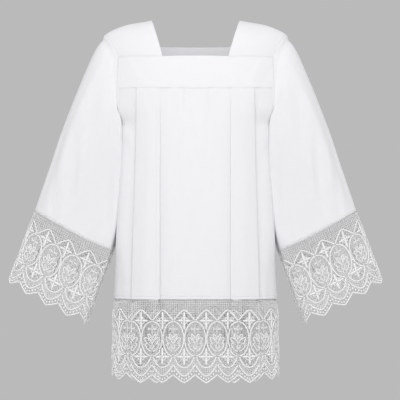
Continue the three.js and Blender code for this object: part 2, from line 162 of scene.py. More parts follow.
def running(steps):
    """The running total of steps, from 0."""
    return join([0], np.cumsum(steps))


def lengths_along(points):
    """How far along a line each of its points lies."""
    return running(np.linalg.norm(np.diff(points, axis=0), axis=1))


def spread(first, middle, last):
    """Places given one by one at both ends, and evenly in the middle: from, to and how many."""
    return join(first, np.linspace(*middle), last)


def unit(vectors):
    return vectors / np.maximum(np.linalg.norm(vectors, axis=-1, keepdims=True), 1e-12)


def curve(xs, ys, at):
    """A smooth curve through a table's points, with no overshoot between them."""
    at = np.asarray(at, float)
    steps = np.diff(xs)
    slopes = np.diff(ys) / steps
    product = slopes[1:] * slopes[:-1]
    total = np.where(product > 0, slopes[1:] + slopes[:-1], 1)
    inner = np.where(product > 0, 2 * product / total, 0)
    tangents = join(slopes[:1], inner, slopes[-1:])
    i = np.clip(np.searchsorted(xs, at) - 1, 0, len(xs) - 2)
    t = np.clip((at - xs[i]) / steps[i], 0, 1)
    start = (1 + 2 * t) * (1 - t) ** 2 * ys[i] + t * (1 - t) ** 2 * steps[i] * tangents[i]
    end = t * t * (3 - 2 * t) * ys[i + 1] - t * t * (1 - t) * steps[i] * tangents[i + 1]
    return start + end


def read(rows, name, at):
    """A table's named column, at places between the ones that its first column gives."""
    return curve(next(iter(rows.values())), rows[name], at)


def ridges(rows, across, down):
    """The height that a table of soft ridges and troughs gives at places on a cloth."""
    height = np.zeros(np.broadcast(across, down).shape)
    for top, foot, start, end, width, rise in zip(*rows.values()):
        share = (down - start) / (end - start)
        taper = np.sin(np.pi * np.clip(share, 0, 1)) ** 0.8
        height = height + rise * taper * hump(across - mix(top, foot, share), width)
    return height


# -------- forms and meshes


class Form:
    """A cloth's middle surface, as a grid of points over u, across, and v, down."""

    def __init__(self, us, vs, points, inside, wrap=False):
        self.us, self.vs = np.asarray(us, float), np.asarray(vs, float)
        self.points, self.wrap = points, wrap
        if wrap:
            points = np.concatenate([points[:, -3:-1], points, points[:, 1:3]], axis=1)
        normals = np.cross(np.gradient(points, axis=1), np.gradient(points, axis=0))
        normals = unit(normals[:, 2:-2] if wrap else normals)
        inward = (normals * (self.points - inside)).sum() < 0
        self.normals = -normals if inward else normals

    def at(self, u, v):
        """The point and the outward direction at each u and v."""
        i, s = self._cell(self.us, u)
        j, t = self._cell(self.vs, v)
        weights = ((1 - s) * (1 - t), s * (1 - t), (1 - s) * t, s * t)
        corners = ((j, i), (j, i + 1), (j + 1, i), (j + 1, i + 1))
        place, out = (
            sum(weight[:, None] * grid[corner] for weight, corner in zip(weights, corners))
            for grid in (self.points, self.normals)
        )
        return place, unit(out)

    @staticmethod
    def _cell(places, at):
        i = np.clip(np.searchsorted(places, at) - 1, 0, len(places) - 2)
        return i, np.clip((at - places[i]) / (places[i + 1] - places[i]), 0, 1)

    def spans(self):
        """The real distance across and down, at each column and row."""
        across = np.linalg.norm(np.diff(self.points, axis=1), axis=2).mean(0)
        down = np.linalg.norm(np.diff(self.points, axis=0), axis=2).mean(1)
        return running(across), running(down)


def mesh_object(name, vertices, faces, uvs):
    """A smooth-shaded mesh object, from millimetres. Faces is a list of arrays of corners."""
    mesh = bpy.data.meshes.new(name)
    corners = np.concatenate([f.reshape(-1) for f in faces]).astype(np.int32)
    sizes = np.concatenate([np.full(len(f), f.shape[1]) for f in faces])
    mesh.vertices.add(len(vertices))
    mesh.vertices.foreach_set("co", (vertices * MM).astype(np.float32).ravel())
    mesh.loops.add(len(corners))
    mesh.loops.foreach_set("vertex_index", corners)
    mesh.polygons.add(len(sizes))
    mesh.polygons.foreach_set("loop_start", running(sizes[:-1]).astype(np.int32))
    mesh.polygons.foreach_set("use_smooth", np.ones(len(sizes), bool))
    mesh.update(calc_edges=True)
    layer = mesh.uv_layers.new(name="cut")
    layer.data.foreach_set("uv", (uvs[corners] * MM).astype(np.float32).ravel())
    mesh.validate()
    piece = bpy.data.objects.new(name, mesh)
    bpy.context.scene.collection.objects.link(piece)
    return piece


def shell(form, half):
    """A closed shell of cloth round a form, half its thickness to each side."""
    rows, columns = form.points.shape[:2]
    count = rows * columns
    half = np.broadcast_to(half, (rows, columns))[..., None]
    sides = form.points + form.normals * half, form.points - form.normals * half
    vertices = np.concatenate([side.reshape(-1, 3) for side in sides])
    index = np.arange(count).reshape(rows, columns)
    if form.wrap:
        index[:, -1] = index[:, 0]
    quads = np.stack([index[:-1, :-1], index[:-1, 1:], index[1:, 1:], index[1:, :-1]], axis=2)
    quads = quads.reshape(-1, 4)
    rims = [(index[0, 1:], index[0, :-1]), (index[-1, :-1], index[-1, 1:])]
    if not form.wrap:
        rims += [(index[:-1, 0], index[1:, 0]), (index[1:, -1], index[:-1, -1])]
    walls = [np.stack([a + count, b + count, b, a], axis=1) for a, b in rims]
    faces = join(quads[:, ::-1] + count, quads, *walls)
    a, b, c = (vertices[faces[:, k]] for k in (0, 1, 2))
    if (a * np.cross(b, c)).sum() < 0:
        faces = faces[:, ::-1]
    used, faces = np.unique(faces, return_inverse=True)
    flat = np.stack(np.meshgrid(*form.spans()), axis=2).reshape(-1, 2)
    return vertices[used], faces.reshape(-1, 4), join(flat, flat)[used]


class Threads:
    """Many strands laid on a form, each a chain of places with a radius, made as one mesh."""

    def __init__(self):
        self.strands = []

    def add(self, places, radius, sides, lift, flat=1.0):
        self.strands.append((places, np.asarray(radius, float), sides, lift, flat))

    def meshed(self, form):
        """The vertices, faces and lengthwise places of every strand, on the form."""
        vertices, quads, ends, uvs = [], [], [], []
        start = 0
        for sides in sorted({strand[2] for strand in self.strands}):
            chosen = [strand for strand in self.strands if strand[2] == sides]
            places, radii, _, lifts, flats = zip(*chosen)
            lengths = np.array([len(chain) for chain in places])
            lasts = lengths.cumsum() - 1
            firsts = lasts - lengths + 1
            centre, out = form.at(*np.concatenate(places).T)
            centre = centre + out * np.repeat(lifts, lengths)[:, None]
            before, after = np.arange(len(centre)) - 1, np.arange(len(centre)) + 1
            before[firsts], after[lasts] = firsts, lasts
            side = unit(np.cross(out, centre[after] - centre[before]))
            angles = (np.arange(sides)[:, None] + 0.5) * 2 * np.pi / sides
            flat = np.repeat(flats, lengths)[:, None, None]
            ring = side[:, None] * np.cos(angles) + out[:, None] * np.sin(angles) * flat
            ring = ring * np.concatenate(radii)[:, None, None]
            vertices.append((centre[:, None] + ring).reshape(-1, 3))
            uv = np.zeros((len(centre), sides, 2))
            uv[..., 0] = np.linalg.norm(centre - centre[before], axis=1).cumsum()[:, None]
            uv[..., 1] = np.arange(sides) / sides
            uvs.append(uv.reshape(-1, 2))
            index = start + np.arange(len(centre) * sides).reshape(-1, sides)
            a, b = np.delete(index, lasts, axis=0), np.delete(index, firsts, axis=0)
            strip = np.stack([a, np.roll(a, -1, 1), np.roll(b, -1, 1), b], axis=2)
            quads.append(strip.reshape(-1, 4))
            for k in range(1, sides - 1):
                ends += [index[firsts][:, [0, k + 1, k]], index[lasts][:, [0, k, k + 1]]]
            start += index.size
        faces = [np.concatenate(quads), np.concatenate(ends)]
        return np.concatenate(vertices), faces, np.concatenate(uvs)


# -------- body

# Scales the body's points to places inside it.
TO_AXIS = [0.3, 0, 1]


def section(down, face):
    """A quarter of the body's section at one height, from the centre to the side seam."""
    half_width = read(BODY, "half_width", down)
    depth = read(BODY, "front" if face < 0 else "back", down)
    angle = np.linspace(0, np.pi / 2, 241)
    x = half_width * np.sin(angle) ** (2 / SECTION_POWER)
    y = depth * np.clip(np.cos(angle), 0, 1) ** (2 / SECTION_POWER)
    length = running(np.hypot(np.diff(x), np.diff(y)))
    return {"x": x, "y": y, "length": length, "half_width": half_width, "depth": depth}


def length_to_depth(quarter, depth):
    """The length round a section at which it has come in to a given depth."""
    return np.interp(-depth, -quarter["y"], quarter["length"])


def section_points(quarter, along, outward, face, down):
    """Points a distance round a section, each a height outside it."""
    x, y = (np.interp(np.abs(along), quarter["length"], quarter[axis]) for axis in "xy")
    nx = (x / quarter["half_width"]) ** (SECTION_POWER - 1) / quarter["half_width"]
    ny = (y / quarter["depth"]) ** (SECTION_POWER - 1) / quarter["depth"]
    size = np.hypot(nx, ny)
    px = np.where(along < 0, -1, 1) * (x + nx / size * outward)
    py = face * (y + ny / size * outward)
    return np.stack([px, py, np.broadcast_to(-down, px.shape)], axis=-1)


def armhole_depth(down):
    """The armhole's half depth at a height below the yoke, a quarter round into the underarm."""
    share = np.clip((down - YOKE_BOTTOM) / (UNDERARM - YOKE_BOTTOM), 0, 1)
    return ARMHOLE_HALF_DEPTH * np.sqrt(1 - share * share)


def seam_rise(x):
    """How far the yoke's lower seam has risen at x."""
    return YOKE_BOTTOM_RISE * np.clip((x / ARMHOLE_HALF_WIDTH) ** 2, 0, 1)


# The outer panel's outer edge rises below the yoke, in layers of cloth. Behind it the side panel
# starts in a valley, and these are the shares of its depth left further out.
EDGE_LIFT, EDGE_LIFT_OVER = 0.9, 90.0
VALLEY_WIDTH, VALLEY_LEFT = 9.0, 0.42
SIDE_TURNS = ((0.28, 0.12), (0.5, 0), (0.7, 0), (0.87, 0))


def pleat_turns(down, face):
    """Where half the pleated cloth turns at one height: distance round, and height outside."""
    quarter = section(down, face)
    inner, outer, step, valley = (
        read(PLEATS, name, down) for name in ("inner", "outer", "layer_step", "side_valley")
    )
    inner_fold = inner + INNER_UNDERLAP
    outer_fold = outer - OUTER_UNDERLAP
    crease = CREASE_HEIGHT * np.clip((CREASE_END - down) / (CREASE_END - YOKE_BOTTOM), 0, 1)
    end = length_to_depth(quarter, armhole_depth(down)) - SEAM_GAP / 2
    lift = EDGE_LIFT * smoothstep((down - YOKE_BOTTOM) / EDGE_LIFT_OVER)
    sunk = -valley / step
    turns = (
        (0, 0), (STRIP_EDGE, 0), (CREASE, crease / step), ((CREASE + inner) / 2, 0.15),
        (inner, 0), (inner_fold, 0), (inner_fold + step / 2, 0.5), (inner_fold, 1),
        (inner, 1), (inner - step / 2, 1.5), (inner, 2), ((inner + outer) / 2, 2.5 + lift / 2),
        (outer, 2 + lift), (outer + step / 2, 1.5), (outer, 1), (outer_fold, 1),
        (outer_fold - step / 2, 0.5), (outer_fold, 0), (outer, sunk),
        (outer + VALLEY_WIDTH, sunk * VALLEY_LEFT),
        *((mix(outer, end, share), sunk * left) for share, left in SIDE_TURNS),
        (end, 0),
    )
    along, layer = np.array(turns, float).T
    return along, layer * step, step


# Turns by their number above: each fold's first, with the way it points, the ones that a pleat
# hides, the outer panel's edges, and where the side panel starts.
FOLDS = {5: 1, 8: -1, 12: 1, 15: -1}
HIDDEN_TURNS = range(4, 10), range(12, 18)
PANEL_EDGES = 10, 12
SIDE_START = 18


def unfolded_turns(face):
    """The unfolded distance from the centre to each turn, as the cloth lies at the hem."""
    along, outward, _ = pleat_turns(HEM, face)
    return running(np.hypot(np.diff(along), np.diff(outward)))


TURNS = {face: unfolded_turns(face) for face in (FRONT, BACK)}
FOLD_STEPS = 4


def body_columns(face, step, hidden_step):
    """Places across the unfolded cloth, close together in the folds."""
    turns = TURNS[face]
    places = [turns[:1]]
    for i in range(len(turns) - 1):
        width = hidden_step if any(i in group for group in HIDDEN_TURNS) else step
        count = max(2, math.ceil((turns[i + 1] - turns[i]) / width))
        if i in FOLDS or i - 1 in FOLDS:
            count = FOLD_STEPS
        places.append(np.linspace(turns[i], turns[i + 1], count + 1)[1:])
    half = np.concatenate(places)
    return join(-half[:0:-1], half)


# Soft ridges and troughs of the body: distance round at their top and foot, from and to which
# height they run, their width, and how far they rise.
RIDGE_COLUMNS = "top foot start end width rise"
BODY_RIDGES = {
    FRONT: table(RIDGE_COLUMNS, """
-30 26 640 430 13 -1.4
-22 18 720 560 15 1.0
-60 -52 330 700 11 0.8
-47 -70 430 760 8 -0.7
57 66 300 640 12 0.8
70 48 470 730 9 -0.8
8 2 215 400 12 0.6
-126 -104 196 268 7 -1.3
122 102 196 262 7 -1.2
-112 -118 330 690 10 0.6
116 110 380 740 10 0.6
-186 -158 262 330 11 -2.4
-190 -165 318 380 10 -1.8
-176 -182 380 620 13 2.2
-163 -160 420 690 7 -1.6
-196 -200 560 760 9 -1.6
184 160 256 322 11 -2.2
192 164 332 400 10 -1.9
178 174 400 640 13 2.0
164 161 440 720 7 -1.4
200 196 540 740 9 -1.6
"""),
    BACK: table(RIDGE_COLUMNS, """
24 -26 610 420 13 -1.3
-12 20 520 700 15 0.9
56 64 310 660 11 0.8
-66 -50 360 720 10 -0.8
-120 -104 198 262 7 -1.2
126 106 198 270 7 -1.3
-186 -162 266 330 11 -2.2
188 160 258 336 11 -2.4
-178 -176 390 640 13 2.0
180 176 380 620 13 2.2
-196 -200 540 740 9 -1.5
198 195 560 760 9 -1.5
"""),
}
RIDGE_CLEAR = 9.0
SEAM_LIFT = 0.7
SEAM_LIFT_FADE = 22.0
# The body's side filled out to meet the sleeve that hangs against it.
SIDE_FILL = 11.0
SIDE_PLACE = 196.0
SIDE_WIDTH = 26.0
SIDE_FROM, SIDE_TO = 212.0, 276.0
SIDE_LEAVES, SIDE_FREE = 560.0, 690.0


def side_fill(place, down):
    share = smoothstep((down - SIDE_FROM) / (SIDE_TO - SIDE_FROM))
    share = share * (1 - smoothstep((down - SIDE_LEAVES) / (SIDE_FREE - SIDE_LEAVES)))
    return SIDE_FILL * share * hump(np.abs(place) - SIDE_PLACE, SIDE_WIDTH)


def free_of_folds(u, face):
    """1 where the body's cloth lies open, and 0 at a fold and under a pleat."""
    turns = TURNS[face]
    free = np.ones(u.shape)
    for group in HIDDEN_TURNS:
        before = (turns[group[0]] - np.abs(u)) / RIDGE_CLEAR
        after = (np.abs(u) - turns[group[-1]]) / RIDGE_CLEAR
        free *= smoothstep(np.maximum(before, after))
    return free


def body_form(face, us, downs, from_seam):
    """The pleated body's form, or the lace's below it, which hangs on from the same folds."""
    turns = TURNS[face]
    distance = np.abs(us)
    i = np.clip(np.searchsorted(turns, distance) - 1, 0, len(turns) - 2)
    share = (distance - turns[i]) / (turns[i + 1] - turns[i])
    free = free_of_folds(us, face)
    rows = []
    for down in downs:
        along, outward, step = pleat_turns(down, face)
        place = mix(along[i], along[i + 1], share)
        height = mix(outward[i], outward[i + 1], smoothstep(share))
        for fold, way in FOLDS.items():
            inside = (i == fold) | (i == fold + 1)
            angle = (i - fold + share) / 2 * np.pi
            place = np.where(inside, along[fold] + way * step / 2 * np.sin(angle), place)
            rise = (1 - np.cos(angle)) / 2
            height = np.where(inside, mix(outward[fold], outward[fold + 2], rise), height)
        place = np.where(us < 0, -place, place)
        height = height + free * (ridges(BODY_RIDGES[face], place, down) + side_fill(place, down))
        if from_seam:
            height = height + SEAM_LIFT * (1 - smoothstep((down - YOKE_BOTTOM) / SEAM_LIFT_FADE))
        row = section_points(section(down, face), place, height, face, down)
        if from_seam:
            share_down = (down - YOKE_BOTTOM) / (HEM - YOKE_BOTTOM)
            row[:, 2] = mix(-YOKE_BOTTOM - SEAM_GAP + seam_rise(row[:, 0]), -HEM, share_down)
        rows.append(row)
    points = np.stack(rows)
    return Form(us, downs, points, points * TO_AXIS)


# Rows by their distance above a turned-up edge, close together at the stitches and the edge.
HEM_ROWS = (14.0, 11.2, 10.4, 9.9, 9.4, 8.9, 7.6, 6.4, 5.9, 5.4, 3.4, 1.6, 0.6, 0.0)
HEM_STITCHES = (9.4, 5.9)
HEM_TURN = 1.2
HEM_EDGE = 0.55
STITCH_DIP, STITCH_DIP_WIDTH = 0.6, 0.5
# How far apart the body's rows and columns lie, the columns also where a pleat hides them. A row
# or column just inside a seam or a panel's edge keeps that edge crisp.
ROW_STEP = 9.0
PANEL_STEPS = 6.5, 11.0
LACE_STEPS = 4.9, 9.0
CRISP_SEAM = 0.4
CRISP_EDGE = 0.8


def panel_form(face):
    foot = HEM - HEM_ROWS[0]
    downs = np.linspace(YOKE_BOTTOM, foot, round((foot - YOKE_BOTTOM) / ROW_STEP) + 1)
    hem = [HEM - row for row in HEM_ROWS]
    downs = join(downs[:1], downs[:1] + CRISP_SEAM, downs[1:-1], hem)
    inner, outer = (TURNS[face][turn] for turn in PANEL_EDGES)
    crisp = np.array([inner + CRISP_EDGE, outer - CRISP_EDGE])
    columns = np.sort(join(body_columns(face, *PANEL_STEPS), crisp, -crisp))
    return body_form(face, columns, downs, True)


PANELS = {face: panel_form(face) for face in (FRONT, BACK)}
# The lace is tucked up behind the cloth, lies back from it there, and its form ends past its tips.
LACE_TUCK = 3
LACE_PAST = 1
LACE_SET_BACK, LACE_SET_BACK_FADE = 5.0, 9


def hem_lace_form(face):
    heading = HEM + np.array([-LACE_TUCK, 0, 2, 4, 6])
    downs = join(heading, np.linspace(HEM + 9, HEM + LACE_DEPTH + LACE_PAST, 21))
    return body_form(face, body_columns(face, *LACE_STEPS), downs, False)


def hem_thickness(from_edge):
    """Half the cloth's thickness at a distance from a turned-up edge."""
    turned = smoothstep((HEM_BAND + HEM_TURN / 2 - from_edge) / HEM_TURN)
    rounded = mix(HEM_EDGE, 1, smoothstep(from_edge / HEM_TURN))
    dips = sum(hump(from_edge - row, STITCH_DIP_WIDTH) for row in HEM_STITCHES)
    return mix(CLOTH_HALF, HEM_HALF, turned) * rounded - STITCH_DIP * dips


# -------- yokes and shoulder straps

YOKE_LAYER = 1.0
YOKE_OVER_PLEATS = 1.1
PLEATS_FROM, PLEATS_TO, PLEATS_FADE = 62, 168, 26
YOKE_OVERLAP = 0.1
YOKE_LIP = 0.8
YOKE_LIP_SHARE = 0.09
YOKE_EDGE_THINNED, YOKE_THINNED_SHARE = 0.6, 0.05
YOKE_END = 0.3
YOKE_ROWS = {
    FRONT: ((0, 0.02, 0.07, 0.1, 0.13), (0.2, 0.9, 12), (0.95, 0.98, 0.997, 1)),
    BACK: ((0, 0.01, 0.04, 0.06, 0.08), (0.13, 0.92, 18), (0.96, 0.98, 0.998, 1)),
}
YOKE_RIDGES = {
    FRONT: table(RIDGE_COLUMNS, """
-178 -128 0.02 0.85 9 1.3
-150 -112 0.1 1.02 11 -1.0
-192 -160 0.25 1.1 8 -0.9
176 130 0.02 0.85 9 1.3
152 108 0.1 1.02 11 -1.0
190 162 0.3 1.1 8 -0.9
-20 10 0.1 0.95 22 0.5
"""),
    BACK: table(RIDGE_COLUMNS, """
-170 -120 0.3 0.95 10 1.2
168 124 0.3 0.95 10 1.2
-60 -20 0.1 0.9 16 0.9
52 30 0.2 0.95 16 -0.8
"""),
}


def yoke_top(x, face):
    """How far down the yoke's top edge lies at x."""
    neck = NECK_HALF_WIDTH[face]
    share = (np.abs(x) - neck) / (ARMHOLE_HALF_WIDTH - neck)
    return mix(YOKE_TOP_NECK[face], YOKE_TOP_ARMHOLE[face], np.clip(share, 0, 1))


def chest_share(down):
    """How deep the chest is at a height, as a share of its depth at the yoke's lower seam."""
    up = np.maximum((YOKE_BOTTOM - down) / (YOKE_BOTTOM - YOKE_TOP_NECK[FRONT]), 0)
    return 1 - CHEST_SLOPE * up**CHEST_SLOPE_POWER


def body_depth(x, face, up):
    """How deep a strap's cloth lies at x, before it turns over the shoulder."""
    quarter = section(YOKE_BOTTOM, face)
    half_width = mix(quarter["half_width"] + YOKE_LAYER, SHOULDER_SPREAD, up)
    across = np.clip(np.abs(x) / half_width, 0, 1)
    share = (1 - across**SECTION_POWER) ** (1 / SECTION_POWER)
    return (quarter["depth"] + YOKE_LAYER) * share


def yoke_form(face):
    quarter = section(YOKE_BOTTOM, face)
    end = length_to_depth(quarter, ARMHOLE_HALF_DEPTH) - SEAM_GAP / 2
    us = np.linspace(-end, end, 81)
    us = join(us[:1], us[:1] + YOKE_END, us[1:-1], us[-1:] - YOKE_END, us[-1:])
    vs = spread(*YOKE_ROWS[face])
    over_pleats = smoothstep((np.abs(us) - PLEATS_FROM) / PLEATS_FADE)
    over_pleats = over_pleats * smoothstep((PLEATS_TO - np.abs(us)) / PLEATS_FADE)
    rows = []
    for share in vs:
        lip = YOKE_LIP * (1 - smoothstep(share / YOKE_LIP_SHARE))
        rise = YOKE_LAYER + lip + YOKE_OVER_PLEATS * over_pleats * smoothstep(share) ** 2
        rise = rise + ridges(YOKE_RIDGES[face], us, share)
        row = section_points(quarter, us, rise, face, 0.0)
        seam = YOKE_BOTTOM - seam_rise(row[:, 0])
        down = mix(yoke_top(row[:, 0], face), seam + YOKE_OVERLAP, share)
        row[:, 1] *= chest_share(down)
        row[:, 2] = -down
        rows.append(row)
    points = np.stack(rows)
    return Form(us, vs, points, points * TO_AXIS)


def strap_point(across, turn, side):
    """A place on a strap: turn is 0 at the front yoke, 1 on the shoulder line, 2 at the back."""
    across, turn = np.broadcast_arrays(np.asarray(across, float), np.asarray(turn, float))
    angle = np.pi / 2 * np.clip(1 - np.abs(turn - 1), 0, 1)
    up = np.sin(angle) ** (2 / SHOULDER_POWER)
    out = np.cos(angle) ** (2 / SHOULDER_POWER)
    arm = mix(ARMHOLE_HALF_WIDTH, SHOULDER_HALF_WIDTH - SEAM_GAP, up)
    points = []
    for face in (FRONT, BACK):
        neck = mix(NECK_HALF_WIDTH[face], NECK_SHOULDER_HALF_WIDTH, up)
        x = mix(neck, arm, across)
        seam = yoke_top(x, face) - SEAM_GAP
        y = face * body_depth(x, face, up) * chest_share(seam) * out
        z = -mix(seam, read(SHOULDER_LINE, "down", x), up)
        points.append(np.stack([side * x, y, z], axis=-1))
    return np.where((turn < 1)[..., None], points[0], points[1])


# The strap's ends go in under the yokes: how far down, how far in, and the share of it that the
# next row has already gone.
STRAP_TUCK, STRAP_TUCK_IN = 4.0, 1.8
STRAP_TUCK_START = np.array([0, 0.15, 0.25])
STRAP_COLUMNS = (0, 0.02, 0.07, 0.1, 0.14), (0.2, 0.94, 16), (0.98, 0.997, 1)
STRAP_ROWS = (-0.02,), (0, 2, 53), (2.02,)
STRAP_WAVE = 1.1


def strap_form(side):
    us, vs = spread(*STRAP_COLUMNS), spread(*STRAP_ROWS)
    grid_u, grid_v = np.meshgrid(us, vs)
    points = strap_point(grid_u, grid_v, side)
    inside = points * [1, 0.3, 1] - [0, 0, 40]
    form = Form(us, vs, points, inside)
    hold = np.sin(np.pi * grid_u) * np.sin(np.pi * grid_v / 2) ** 2
    wave = STRAP_WAVE * np.sin(grid_u * 7 + grid_v * 2.2) * np.sin(np.pi * grid_v * 1.5) * hold
    points = points + form.normals * wave[..., None]
    for end, beside, way in ((0, 1, 1), (-1, -2, -1)):
        tuck = np.array([0, way * STRAP_TUCK_IN, -STRAP_TUCK])
        points[end] += tuck
        points[beside] += tuck * STRAP_TUCK_START
    return Form(us, vs, points, inside)


# -------- sleeves


def armhole_edge(face):
    """Half the armhole's edge, from the shoulder line down to the underarm."""
    strap = strap_point(1.0, np.linspace(1, 0 if face < 0 else 2, 33), LEFT)
    quarter = section(YOKE_BOTTOM, face)
    corner = np.array([length_to_depth(quarter, ARMHOLE_HALF_DEPTH)])
    yoke_end = section_points(quarter, corner, YOKE_LAYER, face, 0.0)
    yoke_end[:, 2] = -YOKE_BOTTOM + YOKE_BOTTOM_RISE
    rows = []
    for share in np.sin(np.linspace(0, np.pi / 2, 25)[1:]):
        down = mix(YOKE_BOTTOM, UNDERARM, share)
        quarter = section(down, face)
        along = np.array([length_to_depth(quarter, armhole_depth(down))])
        row = section_points(quarter, along, side_fill(along, down), face, down)
        row[:, 2] = -mix(YOKE_BOTTOM - YOKE_BOTTOM_RISE, UNDERARM, share)
        rows.append(row)
    return join(strap, yoke_end, *rows)


def along_line(points, shares):
    """Points of a line at shares of its length."""
    lengths = lengths_along(points)
    at = shares * lengths[-1]
    return np.stack([np.interp(at, lengths, points[:, k]) for k in range(3)], axis=-1)


def ring_points(ring, around):
    """Points of a sleeve ring: around is 0 and 1 at its upper edge and 0.5 at the underarm."""
    angle = around * 2 * np.pi
    cos, sin = np.cos(angle), np.sin(angle)
    power = np.where(cos < 0, SLEEVE_INNER_POWER, SLEEVE_POWER)
    reach = (1 + np.sign(cos) * np.abs(cos) ** (2 / power)) / 2
    depth = np.sign(sin) * np.abs(sin) ** (2 / power)
    x = mix(ring["under_x"], ring["upper_x"], reach)
    down = mix(ring["under_down"], ring["upper_down"], reach)
    return np.stack([x, -ring["half_depth"] * depth, -down], axis=-1)


RING_PLACES = np.linspace(0, 1, len(SLEEVE_RINGS["upper_x"]))


def ring_at(place):
    return {name: curve(RING_PLACES, column, place) for name, column in SLEEVE_RINGS.items()}


# Folds that hang in a sleeve, by the share of the way round it and down it.
SLEEVE_RIDGES = table(RIDGE_COLUMNS, """
0.15 0.14 -0.1 1.15 0.030 4.5
0.21 0.20 0.25 1.1 0.020 -3.0
0.27 0.27 0.1 1.1 0.026 -3.5
0.25 0.235 0.3 1.05 0.016 2.2
0.36 0.37 -0.1 1.2 0.032 4.8
0.315 0.325 0.3 1.05 0.018 -2.4
0.43 0.425 0.45 1.05 0.02 -1.8
0.08 0.085 0.45 1.05 0.02 -2.6
0.63 0.62 -0.1 1.15 0.033 4.6
0.69 0.70 0.25 1.1 0.02 -2.6
0.74 0.74 0.0 1.1 0.03 -3.6
0.78 0.79 0.35 1.05 0.018 2.0
0.85 0.86 -0.1 1.2 0.034 4.6
0.92 0.915 0.4 1.05 0.02 -2.2
""")
SLEEVE_RIDGES_TAPER = 0.6
# Folds that hang straight down in a sleeve's front and back, by the distance from the middle of
# the garment and the height, as in BODY_RIDGES. They start below the armhole, and are full at
# this depth in front of the sleeve's middle, or behind it.
HANGING_FOLDS = {
    FRONT: table(RIDGE_COLUMNS, """
226 229 130 440 9 2.6
281 284 220 490 9 2.8
326 331 330 560 9 2.6
253 256 170 470 9 -3.0
299 303 270 540 8 -2.8
346 354 380 600 8 -2.2
212 214 330 600 7 -1.6
240 246 330 600 7 1.6
"""),
    BACK: table(RIDGE_COLUMNS, """
230 226 150 430 10 2.6
276 284 230 520 9 2.6
330 327 320 560 9 2.4
257 252 190 480 9 -3.0
303 306 280 560 9 -2.6
214 212 340 600 7 -1.6
"""),
}
FOLD_START = 0.12
FOLD_DEPTH = 24.0
# The armhole seam: the allowance turned in, a soft ridge, and the crease beside it.
ARMHOLE_SEAM = table("place height", """
-0.006 -2.2
-0.0005 -0.5
0.002 0.3
0.006 0.7
0.012 0.4
0.022 -0.9
0.036 -2.4
0.05 -2.7
0.07 -1.4
0.1 0.0
1.0 0.0
""")
ALLOWANCE_SLOPE = 60
SLEEVE_ROWS = (0.084,), (0.1, 0.96, 43)
# How far a sleeve's inner corners are drawn in over the body's side, where, and how near they come.
DRAWN_IN = 14.0
DRAWN_AROUND, DRAWN_WIDTH, DRAWN_FULL = 0.115, 0.085, 0.13
BODY_CLEARANCE = 1.4
CLEAR_AROUND, CLEAR_FROM, CLEAR_OVER = 0.25, 0.01, 0.08


def body_side(points, side):
    """How far out the body's own cloth lies at each point's height and depth, on one side."""
    reach = np.zeros(len(points))
    for face, panel in PANELS.items():
        rows = panel.points[:, panel.us * side > TURNS[face][SIDE_START]]
        heights = -rows[:, :, 2].mean(axis=1)
        for k in np.flatnonzero(points[:, 1] * face > 0):
            row = rows[np.abs(heights + points[k, 2]).argmin()]
            row = row[np.argsort(np.abs(row[:, 1]))]
            reach[k] = np.interp(abs(points[k, 1]), np.abs(row[:, 1]), side * row[:, 0])
    return reach


def rest_on_body(row, around, place, side):
    """Draws a sleeve ring's inner corners in over the body, and keeps them clear of it."""
    from_under = np.abs(around - 0.5)
    weight = hump(from_under - DRAWN_AROUND, DRAWN_WIDTH) * smoothstep(place / DRAWN_FULL)
    out = row[:, 0] * side
    clear = np.maximum(out - DRAWN_IN * weight, body_side(row, side) + BODY_CLEARANCE)
    share = smoothstep((place - CLEAR_FROM) / CLEAR_OVER) * (from_under < CLEAR_AROUND)
    row[:, 0] = mix(out, clear, share) * side
    return row


def sleeve_form(side):
    around = np.linspace(0, 1, 113)
    edge_rows = 1 - np.array(HEM_ROWS) / SLEEVE_LENGTH
    below_seam, middle = SLEEVE_ROWS
    seam_rows = [*ARMHOLE_SEAM["place"][:-2], *below_seam]
    places = spread(seam_rows, middle, edge_rows)
    face_share = 1 - np.abs(1 - 2 * around)
    front, back = (along_line(armhole_edge(face), face_share) for face in (FRONT, BACK))
    armhole = np.where((around <= 0.5)[:, None], front, back) + [ARMHOLE_CLEARANCE, 0, 0]
    first_ring = ring_points(ring_at(0.0), around)
    rows, heights = [], []
    for place in places:
        on_sleeve = max(place, 0)
        row = ring_points(ring_at(on_sleeve), around)
        hold = max(1 - on_sleeve / ARMHOLE_BLEND, 0) ** 2
        row = row + hold * (armhole - first_ring) + [min(place, 0) * ALLOWANCE_SLOPE, 0, 0]
        row[:, 0] *= side
        row = rest_on_body(row, around, place, side)
        rows.append(row)
        taper = math.sin(math.pi * on_sleeve) ** SLEEVE_RIDGES_TAPER
        height = ridges(SLEEVE_RIDGES, around, place) * taper
        for face, folds in HANGING_FOLDS.items():
            facing = smoothstep(row[:, 1] * face / FOLD_DEPTH) * smoothstep(on_sleeve / FOLD_START)
            height = height + facing * ridges(folds, np.abs(row[:, 0]), -row[:, 2])
        heights.append(height + read(ARMHOLE_SEAM, "height", place))
    points = np.stack(rows)
    inside = points.mean(axis=1, keepdims=True)
    form = Form(around, places, points, inside, wrap=True)
    points = points + form.normals * np.stack(heights)[..., None]
    return Form(around, places, points, inside, wrap=True)


CUFF_AROUND = np.linspace(0, 1, 241)
CUFF_RING = rest_on_body(ring_points(ring_at(1.0), CUFF_AROUND), CUFF_AROUND, 1.0, LEFT)
CUFF_LENGTHS = lengths_along(CUFF_RING)
CUFF_ROUND = CUFF_LENGTHS[-1]


def cuff_lace_form(side):
    downs = np.linspace(-LACE_TUCK, LACE_DEPTH + LACE_PAST, 13)
    points = CUFF_RING[None] + CUFF_DIRECTION * (downs[:, None, None] + SEAM_GAP)
    points[..., 0] *= side
    return Form(CUFF_LENGTHS, downs, points, points.mean(axis=1, keepdims=True), wrap=True)


